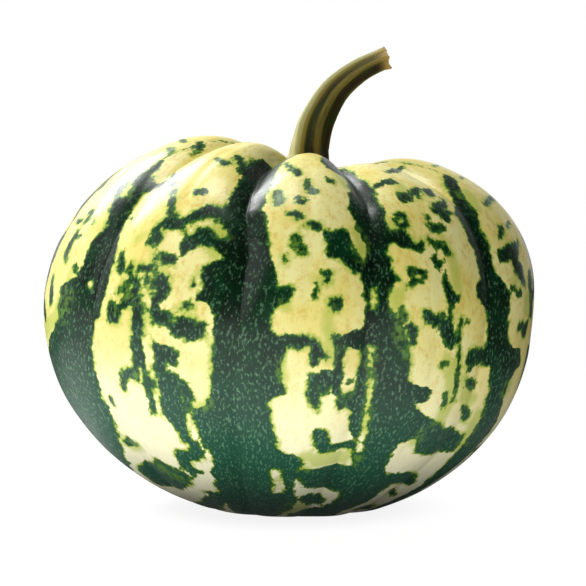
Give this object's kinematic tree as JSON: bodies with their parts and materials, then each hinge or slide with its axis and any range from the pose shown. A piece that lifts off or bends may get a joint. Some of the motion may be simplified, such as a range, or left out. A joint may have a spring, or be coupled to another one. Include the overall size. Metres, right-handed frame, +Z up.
{
  "type": "sweet dumpling squash",
  "caption": "Small squat ribbed winter squash, cream with mottled dark green stripes along its grooves, resting on its blossom end, with a curved dry stem.",
  "frame": {"origin": "middle of the box, on the surface that the squash rests on", "axes": "+Z up, -Y the front as seen in the picture, +X to the right, the way that the stem bends"},
  "size_m": [0.1196, 0.1174, 0.1117],
  "materials": {
    "skin": "waxy satin rind, cream, with mottled dark green stripes along the grooves",
    "stem": "dry and corky, olive to tan, with pale ridges"
  },
  "bodies": {
    "root": {"fruit": "skin", "stem": "stem"}
  },
  "joints": []
}
